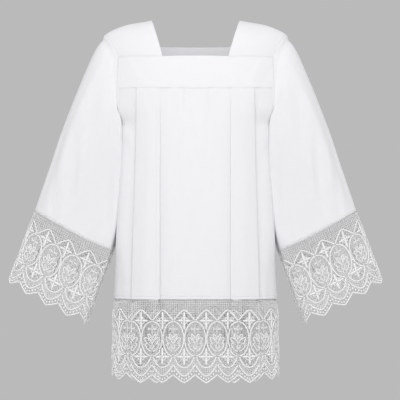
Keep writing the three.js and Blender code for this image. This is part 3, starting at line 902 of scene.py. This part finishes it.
# -------- lace

# One repeat lies 25.2 mm to each side of the axis through its two crosses. Sizes down are from
# the cloth's edge, and the ovals stand on the repeat's own sides.
HALF_REPEAT = HEM_REPEAT / 2
NET_PITCH = HEM_REPEAT / 10
OVAL_NET_PITCH = HEM_REPEAT / 14
OVAL_MIDDLE, OVAL_HALF_HEIGHT, OVAL_HALF_WIDTH = 89.5, 39.0, 24.0
BOWL_HALF_WIDTH = 24.9
RING = 7.6
# A cross's middle, the reach of its arms, and its upright's top and foot.
UPPER_CROSS = 48.5, 15.5, 28, 69.5
LOWER_CROSS = 130.0, 17.0, 110, 149
ARM_WIDTH, UPRIGHT_WIDTH = 5.8, 6.0

# The threads' radii.
CORD = 2.05
FINE_CORD = 1.65
RING_CORD = 1.5
HEADING = 0.88
NET = 0.64
OVAL_NET = 0.32
BRIDE = 0.5
BEAD = [0.8, 2.2, 2.6, 2.2, 0.8]
BEAD_PLACES = np.array([-2.0, -1.3, 0.0, 1.3, 2.0])

NET_TOP = 4.4
HEADING_ROWS = (-0.6, 0.7, 2.0)
OVAL_TIE_ROWS = (77.5, 81.5, 85.5, 89.5, 93.5)
CORD_LIFT = 0.3
EDGE_BAND = 1.1
EDGE_BARS = 9


def arch(u):
    """The line of the arch over an upper cross."""
    return 24 + 24.8 * (np.abs(u) / HALF_REPEAT) ** 1.35


def bowl(u):
    """The line of the bowl under a lower cross."""
    return 124 + 30 * (1 - np.clip(np.abs(u) / BOWL_HALF_WIDTH, 0, 1) ** 2.5)


def inner_scallop(u):
    return 173 - 26 * (np.abs(u) / HALF_REPEAT) ** 1.7


def edge_cord(u):
    """The line of the cord along the scalloped edge, just inside it."""
    return mix(LACE_DEPTH, 171, (np.abs(u) / HALF_REPEAT) ** 1.2) - EDGE_BAND


def in_net(u, v):
    return v < arch(u) - 0.6


def in_oval(u, v):
    """Whether a place lies in the oval that stands on the nearer side of the repeat."""
    across = (HALF_REPEAT - np.abs(u)) / OVAL_HALF_WIDTH
    return across**2 + (np.abs(v - OVAL_MIDDLE) / OVAL_HALF_HEIGHT) ** 2 < 0.97


def clipped(places, inside):
    """The stretches of a chain of places where a test holds, by their two ends."""
    keep = inside(places[:, 0], places[:, 1])
    cuts = np.flatnonzero(np.diff(keep.astype(int))) + 1
    for run, kept in zip(np.split(places, cuts), np.split(keep, cuts)):
        if kept[0] and len(run) > 2:
            yield run[[0, -1]]


def net_lines(pitch, inside, start, end):
    """The threads of a square net, cut to where it lies."""
    fine = 0.5
    for v in np.arange(start, end, pitch):
        us = np.arange(-HALF_REPEAT, HALF_REPEAT + fine / 2, fine)
        yield from clipped(np.stack([us, np.full(us.shape, v)], axis=1), inside)
    for u in np.arange(-HALF_REPEAT + pitch / 2, HALF_REPEAT, pitch):
        vs = np.arange(start - pitch / 2, end, fine)
        yield from clipped(np.stack([np.full(vs.shape, u), vs], axis=1), inside)


def line_of(height, count, reach=HALF_REPEAT):
    us = np.linspace(-reach, reach, count)
    return np.stack([us, height(us)], axis=1)


def bar(a, b, width, count):
    """A padded bar from a to b with blunt rounded ends."""
    share = np.linspace(0, 1, count)
    places = mix(np.array(a, float), np.array(b, float), share[:, None])
    waist = 0.86 + 0.28 * np.abs(share - 0.5)
    ends = np.sqrt(np.clip(1 - np.abs(2 * share - 1) ** 7, 0.12, 1))
    return places, width / 2 * waist * ends


# The single bars that tie the crosses to the lines round them, on one side of the axis.
CROSSINGS = table("u v to_u to_v", """
5.4 42.6 12.5 35.6
5.4 53.4 11.0 61.0
9.5 48 12 40
12 40 18.5 44
12 48 15.5 56.5
2 33 8.5 31.5
1.5 60 6.5 67
1.5 65 4.3 72
15 48 21 48.5
6.0 124.0 10.0 119
9 129.5 13.5 121.5
6.0 136 14.5 144
1.5 143 8.5 149.5
11 131.5 18.5 139
17 130 24 130
1.5 117 7.5 113
""")


def lace_repeat():
    """Every strand of one repeat: places, radius, sides, lift and flatness."""
    strands = []

    def add(places, radius, sides=4, lift=0.0, flat=1.0):
        strands.append((np.asarray(places, float), radius, sides, lift, flat))

    def add_pair(places, radius, **shape):
        add(places, radius, **shape)
        add(np.asarray(places, float) * [-1, 1], radius, **shape)

    uprights = np.arange(-HALF_REPEAT + NET_PITCH / 2, HALF_REPEAT, NET_PITCH)
    for line in net_lines(NET_PITCH, in_net, NET_TOP, LACE_DEPTH):
        add(line, NET)
    for u in uprights:
        add([(u, -1.5), (u, NET_TOP)], NET)
    for v in HEADING_ROWS:
        add([(-HALF_REPEAT, v), (HALF_REPEAT, v)], HEADING)
    oval_top, oval_foot = OVAL_MIDDLE - OVAL_HALF_HEIGHT, OVAL_MIDDLE + OVAL_HALF_HEIGHT
    for line in net_lines(OVAL_NET_PITCH, in_oval, oval_top, oval_foot):
        add(line, OVAL_NET)
    for share in (0.25, 0.5, 0.75):
        add(line_of(lambda u: mix(bowl(u), inner_scallop(u), share), 21), BRIDE)
    for u in uprights:
        add([(u, bowl(u)), (u, inner_scallop(u))], BRIDE)

    add(line_of(arch, 25), CORD, lift=CORD_LIFT)
    turn = np.linspace(-np.pi / 2, np.pi / 2, 27)
    across = OVAL_HALF_WIDTH * np.cos(turn) - HALF_REPEAT
    oval = np.stack([across, OVAL_MIDDLE + OVAL_HALF_HEIGHT * np.sin(turn)], axis=1)
    add_pair(oval, CORD, lift=CORD_LIFT)
    add(line_of(bowl, 25, BOWL_HALF_WIDTH), CORD, lift=CORD_LIFT)
    add(line_of(inner_scallop, 25), CORD, lift=CORD_LIFT)
    add(line_of(edge_cord, 21), CORD, lift=0.1)

    for middle, arm, top, foot in (UPPER_CROSS, LOWER_CROSS):
        add(*bar((-arm, middle), (arm, middle), ARM_WIDTH, 9), sides=6, lift=1.3, flat=0.5)
        add(*bar((0, top), (0, foot), UPRIGHT_WIDTH, 11), sides=6, lift=1.5, flat=0.5)
    for quarter in range(4):
        angles = np.linspace(0.1, np.pi / 2 - 0.1, 6) + quarter * np.pi / 2
        ring = np.stack([np.cos(angles), np.sin(angles)], axis=1) * RING
        add(ring + [0, UPPER_CROSS[0]], RING_CORD, lift=0.2)
        add(ring * 1.1 + [0, LOWER_CROSS[0]], RING_CORD, lift=0.2)
    for u, v, to_u, to_v in zip(*CROSSINGS.values()):
        add_pair([(u, v), (to_u, to_v)], BRIDE)
    for v in OVAL_TIE_ROWS:
        add([(-3.6, v), (3.6, v)], BRIDE)

    add_lace_edge(add)
    add_oval_motif(add_pair)
    return strands


def add_lace_edge(add):
    """The band along the scallops: small bars, each with a bead at its middle."""
    for k in range(EDGE_BARS):
        u = mix(-HALF_REPEAT, HALF_REPEAT, (k + 0.5) / EDGE_BARS)
        top, foot = inner_scallop(u), edge_cord(u)
        add([(u, top), (u, foot)], BRIDE * 0.5)
        along = mix(top, foot, 0.52) + BEAD_PLACES
        add(np.stack([np.full(along.shape, u), along], axis=1), BEAD, sides=6, lift=0.9, flat=0.7)


# The motif's three pairs of looped leaves: root and tip from the stem, and half their width.
LEAVES = table("root down tip tip_down swell", """
1 117 14.5 101 4.0
1 105 15.5 87 4.4
1 93 8.5 79 2.6
""")


def add_oval_motif(add_pair):
    """A small cross over a stem with leaves, half of it on each side of the repeat."""
    axis = -HALF_REPEAT
    add_pair([(axis + 0.5, v) for v in (56.5, 68, 81)], FINE_CORD, lift=0.5)
    add_pair([(axis + 0.35, v) for v in (81, 100, 119)], FINE_CORD * 0.8, lift=0.4)
    add_pair(*bar((axis, 67.5), (axis + 9.6, 67.5), 3.4, 5), sides=6, lift=0.8, flat=0.6)
    add_pair([(axis + 8.0, 64.2), (axis + 8.0, 70.8)], FINE_CORD, lift=0.5)
    for root, down, tip, tip_down, swell in zip(*LEAVES.values()):
        start, end = np.array([root + axis, down]), np.array([tip + axis, tip_down])
        turn = np.linspace(0, 2 * np.pi, 15)
        share = (1 - np.cos(turn)) / 2
        square = np.array([start[1] - end[1], end[0] - start[0]]) / math.dist(start, end)
        outline = mix(start, end, share[:, None]) + square * (swell * np.sin(turn))[:, None]
        add_pair(outline, FINE_CORD, lift=0.6)
        add_pair([start, mix(start, end, 0.72)], BRIDE * 0.8, lift=CORD_LIFT)


LACE_REPEAT = lace_repeat()
LONGEST_STEP = 9.0
BEND_CLEAR = 0.3
CUT_SLACK = 1e-6


def laid_lace(form, centres, repeat, start, end, bends):
    """The lace on a form: a repeat at each centre, cut off at the start and the end."""
    threads = Threads()
    for centre in centres:
        for places, radius, *shape in LACE_REPEAT:
            u = places[:, 0] * (repeat / HEM_REPEAT) + centre
            if u.max() < start or u.min() > end:
                continue
            u, v, r = refined(u, places[:, 1], radius, bends)
            keep = (u >= start - CUT_SLACK) & (u <= end + CUT_SLACK)
            cuts = np.flatnonzero(np.diff(keep.astype(int))) + 1
            for run in np.split(np.arange(len(u)), cuts):
                if keep[run[0]] and len(run) > 1:
                    threads.add(np.stack([u[run], v[run]], axis=1), r[run], *shape)
    return threads.meshed(form)


def refined(u, v, radius, bends):
    """A chain of places with more of them where the form bends, or where they lie far apart."""
    length = running(np.hypot(np.diff(u), np.diff(v)))
    at = [length]
    for i in range(len(u) - 1):
        low, high = sorted((u[i], u[i + 1]))
        crossed = bends[(bends > low + BEND_CLEAR) & (bends < high - BEND_CLEAR)]
        if len(crossed):
            share = (crossed - u[i]) / (u[i + 1] - u[i])
            at.append(mix(length[i], length[i + 1], share))
        pieces = math.ceil((length[i + 1] - length[i]) / LONGEST_STEP)
        if pieces > 1:
            at.append(np.linspace(length[i], length[i + 1], pieces + 1)[1:-1])
    at = np.unique(np.concatenate(at).round(4))
    radius = np.broadcast_to(np.asarray(radius, float), length.shape)
    return [np.interp(at, length, values) for values in (u, v, radius)]


# -------- materials

CLOTH_COLOUR = (0.86, 0.86, 0.88)
LACE_COLOUR = (0.97, 0.97, 0.975)
WEAVE_PITCH = 0.00042
TWISTS_ALONG, TWISTS_ROUND = 9000.0, 6283.2


class Nodes:
    """A short way to write a material's nodes."""

    def __init__(self, name):
        self.material = bpy.data.materials.new(name)
        self.material.use_nodes = True
        self.tree = self.material.node_tree
        self.tree.nodes.clear()

    def node(self, kind, settings=None, **inputs):
        """A new node, with inputs by their name, or by _ and their number."""
        node = self.tree.nodes.new(kind)
        for key, value in (settings or {}).items():
            setattr(node, key, value)
        for key, value in inputs.items():
            socket = node.inputs[int(key[1:]) if key[0] == "_" else key.replace("_", " ")]
            if isinstance(value, bpy.types.NodeSocket):
                self.tree.links.new(value, socket)
            else:
                socket.default_value = value
        return node

    def maths(self, operation, a, b=None):
        inputs = {"_0": a} if b is None else {"_0": a, "_1": b}
        return self.node("ShaderNodeMath", {"operation": operation}, **inputs).outputs[0]

    def noise(self, **inputs):
        place = self.node("ShaderNodeTexCoord").outputs["Object"]
        return self.node("ShaderNodeTexNoise", Vector=place, **inputs).outputs["Fac"]

    def ranged(self, value, low, high):
        return self.node("ShaderNodeMapRange", Value=value, To_Min=low, To_Max=high).outputs[0]

    def toned(self, colour, tone):
        settings = {"data_type": "RGBA", "blend_type": "MULTIPLY"}
        return self.node("ShaderNodeMix", settings, Factor=1.0, _6=(*colour, 1), _7=tone).outputs[2]

    def bump(self, height, depth, **inputs):
        bump = self.node("ShaderNodeBump", Strength=0.5, Distance=depth, Height=height, **inputs)
        return bump.outputs[0]

    def cut(self):
        """The place on the flat cloth, or along and round a thread, in metres."""
        cut = self.node("ShaderNodeUVMap", {"uv_map": "cut"}).outputs[0]
        return self.node("ShaderNodeSeparateXYZ", _0=cut).outputs[:2]

    def finished(self, **inputs):
        shader = self.node("ShaderNodeBsdfPrincipled", **inputs)
        self.node("ShaderNodeOutputMaterial", Surface=shader.outputs[0])
        return self.material


def cloth_material():
    nodes = Nodes("white_cloth")
    waves = [
        nodes.maths("SINE", nodes.maths("MULTIPLY", axis, math.pi / WEAVE_PITCH))
        for axis in nodes.cut()
    ]
    slubs = nodes.noise(Scale=55.0, Detail=4.0, Roughness=0.6)
    soft = nodes.noise(Scale=16.0, Detail=3.0, Roughness=0.5)
    creases = nodes.bump(soft, 0.0012)
    return nodes.finished(
        Base_Color=nodes.toned(CLOTH_COLOUR, nodes.ranged(slubs, 0.975, 1.0)),
        Roughness=nodes.ranged(slubs, 0.78, 0.9),
        Subsurface_Weight=0.4,
        Subsurface_Scale=0.0009,
        Subsurface_Radius=(1.0, 1.0, 1.0),
        Sheen_Weight=0.12,
        Sheen_Roughness=0.5,
        Specular_IOR_Level=0.25,
        Normal=nodes.bump(nodes.maths("MULTIPLY", *waves), 0.00006, Normal=creases),
    )


def thread_material():
    nodes = Nodes("lace_thread")
    along, round_it = nodes.cut()
    turned = nodes.maths("MULTIPLY", round_it, TWISTS_ROUND)
    twist = nodes.maths("ADD", nodes.maths("MULTIPLY", along, TWISTS_ALONG), turned)
    fuzz = nodes.noise(Scale=420.0, Detail=3.0)
    return nodes.finished(
        Base_Color=nodes.toned(LACE_COLOUR, nodes.ranged(fuzz, 0.93, 1.0)),
        Roughness=0.82,
        Subsurface_Weight=0.45,
        Subsurface_Scale=0.0012,
        Subsurface_Radius=(1.0, 1.0, 1.0),
        Sheen_Weight=0.1,
        Specular_IOR_Level=0.3,
        Normal=nodes.bump(nodes.maths("SINE", twist), 0.00008),
    )


def floor_material():
    nodes = Nodes("pale_floor")
    rough = nodes.ranged(nodes.noise(Scale=3.0), 0.7, 0.85)
    return nodes.finished(Base_Color=(0.6, 0.6, 0.6, 1), Roughness=rough)


CLOTH = cloth_material()
THREAD = thread_material()

# -------- sewing

STITCH_PITCH, STITCH_LENGTH = 4.4, 2.7
STITCH_SHAPE = np.array([0, 0.2, 0.8, 1])
STITCH_THREAD = [0.05, 0.42, 0.42, 0.05]
STITCH_LIFT = CLOTH_HALF + 0.15


def stitched(form, paths, lift):
    """Rows of stitches along paths of u and v on a form."""
    threads = Threads()
    for path in paths:
        u, v = (np.interp(np.linspace(0, 1, 600), (0, 1), ends) for ends in path)
        travelled = lengths_along(form.at(u, v)[0])
        for start in np.arange(STITCH_PITCH / 2, travelled[-1] - STITCH_PITCH, STITCH_PITCH):
            at = start + STITCH_LENGTH * STITCH_SHAPE
            line = np.stack([np.interp(at, travelled, u), np.interp(at, travelled, v)], axis=1)
            threads.add(line, STITCH_THREAD, 4, lift)
    return threads.meshed(form)


# -------- the pieces


def finished(piece, material):
    piece.data.materials.append(material)
    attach(piece, "root")
    return piece


def sew_cloth(name, form, half, paths, nodes=None, lift=STITCH_LIFT):
    """A cloth piece with its stitching, in place of its CAD nodes."""
    vertices, quads, uvs = shell(form, half)
    cloth = finished(mesh_object(name + "_cloth", vertices, [quads], uvs), CLOTH)
    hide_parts(*(nodes or [name]))
    stitches = mesh_object(name + "_stitches", *stitched(form, paths, lift))
    return cloth, [finished(stitches, THREAD)]


def hang_lace(name, form, centres, repeat, start, end, bends):
    threads = mesh_object(name + "_threads", *laid_lace(form, centres, repeat, start, end, bends))
    lace = finished(threads, THREAD)
    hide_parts(name)
    return lace


def rows_round(us, *vs):
    """Stitch paths across a form at each v."""
    return [((us[0], us[-1]), (v, v)) for v in vs]


# How far from the yoke's edges its stitches lie, and how far past the neck the straps' seams start.
SEAM_STITCH, NECK_STITCH, STRAP_STITCH, PAST_NECK = 2.2, 7, 2.4, 4
STRAP_STITCHES = (0.07, 0.97)
CUFF_GAP = 0.2
BEND_STEP = 4.0

for place, face in (("front", FRONT), ("back", BACK)):
    form = yoke_form(face)
    height = YOKE_BOTTOM - YOKE_TOP_NECK[face]
    neck = NECK_HALF_WIDTH[face]
    shoulder = (STRAP_STITCH / height,) * 2
    paths = rows_round(form.us, 1 - SEAM_STITCH / height)
    paths += [((-neck, neck), (NECK_STITCH / height,) * 2)]
    paths += [((form.us[0], -neck - PAST_NECK), shoulder), ((neck + PAST_NECK, form.us[-1]), shoulder)]
    thinned = smoothstep((form.vs - (1 - YOKE_THINNED_SHARE)) / YOKE_THINNED_SHARE)
    half = CLOTH_HALF * (1 - YOKE_EDGE_THINNED * thinned)[:, None]
    cloth, stitches = sew_cloth("yoke_" + place, form, half, paths)
    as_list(stitches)

    form = PANELS[face]
    half = hem_thickness(HEM - form.vs)[:, None]
    paths = rows_round(form.us, *(HEM - row for row in HEM_STITCHES))
    cloth, stitches = sew_cloth(place + "_panel", form, half, paths, lift=HEM_HALF)
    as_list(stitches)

    form = hem_lace_form(face)
    end = TURNS[face][-1]
    shift = 0 if face < 0 else HEM_REPEAT / 2
    count = math.ceil(end / HEM_REPEAT) + 1
    centres = (np.arange(-count, count) + 0.5) * HEM_REPEAT - shift
    from_hem = form.vs - HEM - SEAM_GAP
    set_back = LACE_SET_BACK * (1 - smoothstep(from_hem / LACE_SET_BACK_FADE))
    points = form.points - form.normals * set_back[:, None, None]
    hung = Form(form.us, from_hem, points, form.points * TO_AXIS)
    lace = hang_lace("hem_lace_" + place, hung, centres, HEM_REPEAT, -end, end, form.us)

for hand, side in (("left", LEFT), ("right", RIGHT)):
    form = strap_form(side)
    paths = [((u, u), (0.0, 2.0)) for u in STRAP_STITCHES]
    cloth, stitches = sew_cloth("shoulder_strap_" + hand, form, CLOTH_HALF, paths)
    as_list(stitches)

    form = sleeve_form(side)
    half = hem_thickness((1 - form.vs) * SLEEVE_LENGTH)[:, None]
    paths = rows_round(form.us, *(1 - row / SLEEVE_LENGTH for row in HEM_STITCHES))
    halves = [f"sleeve_{hand}_front", f"sleeve_{hand}_back"]
    cloth, stitches = sew_cloth("sleeve_" + hand, form, half, paths, halves, HEM_HALF)
    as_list(stitches)

    form = cuff_lace_form(side)
    repeat = CUFF_ROUND / CUFF_REPEATS
    bends = np.arange(0, CUFF_ROUND, BEND_STEP)
    for place, start in (("front", 0.0), ("back", CUFF_ROUND / 2)):
        centres = start + (np.arange(CUFF_REPEATS / 2) + 0.5) * repeat
        end = start + CUFF_ROUND / 2
        name = f"cuff_lace_{hand}_{place}"
        lace = hang_lace(name, form, centres, repeat, start + CUFF_GAP, end - CUFF_GAP, bends)

# -------- floor, light and camera

FLOOR_PLACE = (0, 0, -1.45)
FLOOR_RADIUS = 2.2
BACKDROP = 0.491
CHEST = Vector((0, 0, -0.35))
CAMERA_PLACE = (0.011, -1.85, -0.66807)
CAMERA_TILT = 96.323
CAMERA_LENS = 66.6

bpy.ops.mesh.primitive_circle_add(
    vertices=96, radius=FLOOR_RADIUS, fill_type="NGON", location=FLOOR_PLACE
)
floor = bpy.context.object
floor.name = "floor"
floor.data.materials.append(floor_material())

world = bpy.data.worlds.new("studio")
bpy.context.scene.world = world
world.use_nodes = True
backdrop = world.node_tree.nodes["Background"].inputs
backdrop["Color"].default_value = (BACKDROP, BACKDROP, BACKDROP, 1)
backdrop["Strength"].default_value = 1.0


def soft_light(name, place, size, power):
    """A round light that shines on the chest, and that the camera doesn't see."""
    light = bpy.data.lights.new(name, "AREA")
    light.shape = "DISK"
    light.size = size
    light.energy = power
    lamp = bpy.data.objects.new(name, light)
    bpy.context.scene.collection.objects.link(lamp)
    lamp.location = place
    lamp.rotation_euler = (CHEST - lamp.location).to_track_quat("-Z", "Y").to_euler()
    lamp.visible_camera = False


soft_light("key", (0.0, -2.2, 0.9), 1.1, 27.3)
soft_light("low_fill", (0.0, -2.4, -0.85), 1.1, 8.8)
for side in (LEFT, RIGHT):
    soft_light("side_fill", (side * 2.2, -0.4, 0.1), 1.0, 3.2)
soft_light("rear", (0.0, 3.0, 1.0), 1.6, 62)

camera = bpy.data.objects.new("camera", bpy.data.cameras.new("camera"))
bpy.context.scene.collection.objects.link(camera)
camera.data.sensor_width = 36
camera.data.lens = CAMERA_LENS
camera.location = CAMERA_PLACE
camera.rotation_euler = (math.radians(CAMERA_TILT), 0, 0)
bpy.context.scene.camera = camera
bpy.context.scene.view_settings.view_transform = "Standard"
